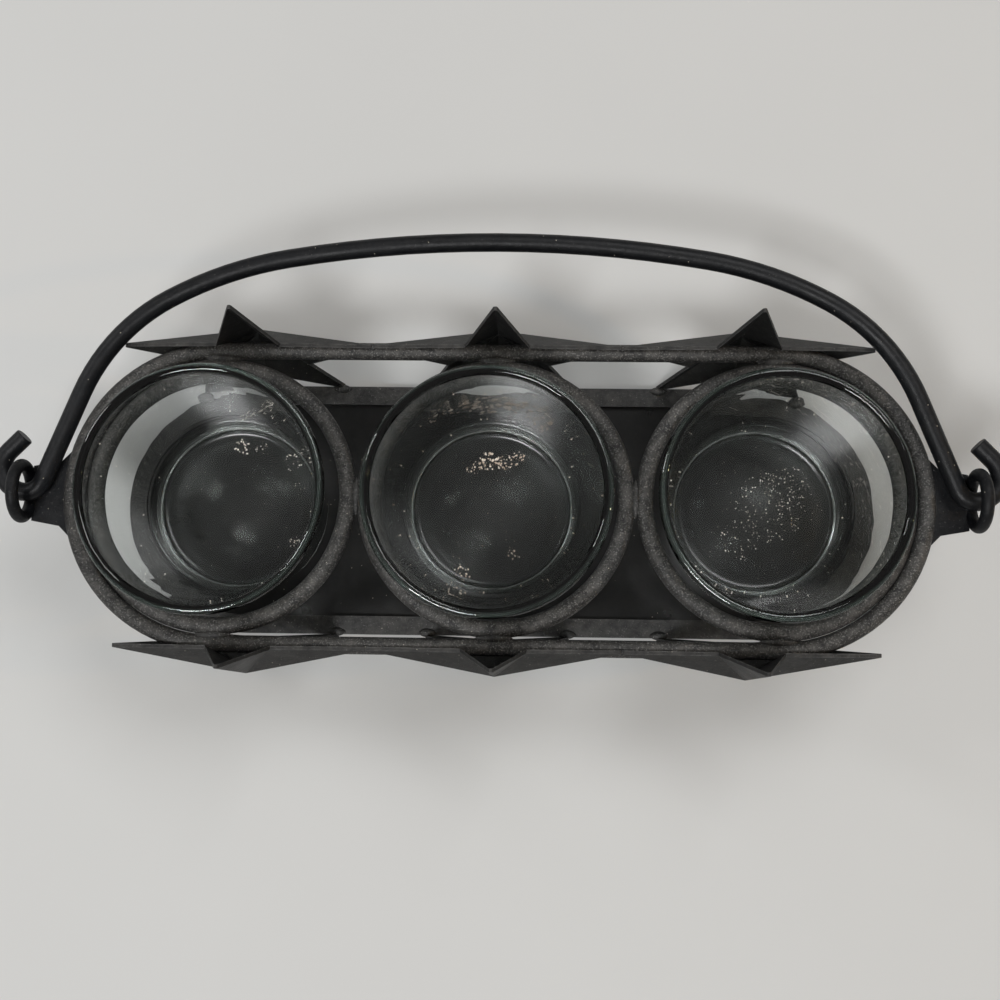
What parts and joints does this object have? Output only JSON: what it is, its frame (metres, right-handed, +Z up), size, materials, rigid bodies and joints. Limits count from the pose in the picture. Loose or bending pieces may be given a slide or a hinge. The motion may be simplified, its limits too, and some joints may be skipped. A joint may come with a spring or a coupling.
{
  "type": "votive candle holder",
  "caption": "Black iron rack carried by folded stars, with a swinging rod handle and loose glass cups in rings for votive candles.",
  "frame": {"origin": "on the table under the middle of the rack, at the middle of the tray floor's underside", "axes": "+X along the rack to the right, +Y to the side that the handle is folded to, +Z up"},
  "size_m": [0.3258, 0.143, 0.0788],
  "materials": {
    "black_iron_rod": "matt black, fine grey speckle",
    "black_iron_sheet": "matt black, fine grey speckle",
    "dark_tray_sheet": "satin black",
    "black_handle_rod": "satin black",
    "weld_bead": "matt black",
    "clear_glass": "clear, faintly green"
  },
  "bodies": {
    "rack": {"upper_rail": "black_iron_rod", "cup_ring_left": "black_iron_rod", "cup_ring_centre": "black_iron_rod", "cup_ring_right": "black_iron_rod", "lug_left": "black_iron_rod", "lug_right": "black_iron_rod", "eye_left": "black_iron_rod", "eye_right": "black_iron_rod", "star_back_left": "black_iron_sheet", "star_back_centre": "black_iron_sheet", "star_back_right": "black_iron_sheet", "star_front_left": "black_iron_sheet", "star_front_centre": "black_iron_sheet", "star_front_right": "black_iron_sheet", "lower_band": "black_iron_sheet", "tray_floor": "dark_tray_sheet", "ring_welds": "weld_bead", "star_welds": "weld_bead"},
    "handle": {"handle": "black_handle_rod"},
    "cup_left": {"glass_cup_left": "clear_glass"},
    "cup_centre": {"glass_cup_centre": "clear_glass"},
    "cup_right": {"glass_cup_right": "clear_glass"}
  },
  "joints": [
    {"name": "handle_swing", "type": "hinge", "parent": "rack", "child": "handle", "pos_m": [0, 0, 0.04999], "axis": [1, 0, 0], "range_deg": [0, 174.27]},
    {"name": "cup_left_lift", "type": "slide", "parent": "rack", "child": "cup_left", "axis": [0, 0, 1], "range_m": [0, 0.08]},
    {"name": "cup_centre_lift", "type": "slide", "parent": "rack", "child": "cup_centre", "axis": [0, 0, 1], "range_m": [0, 0.08]},
    {"name": "cup_right_lift", "type": "slide", "parent": "rack", "child": "cup_right", "axis": [0, 0, 1], "range_m": [0, 0.08]}
  ]
}
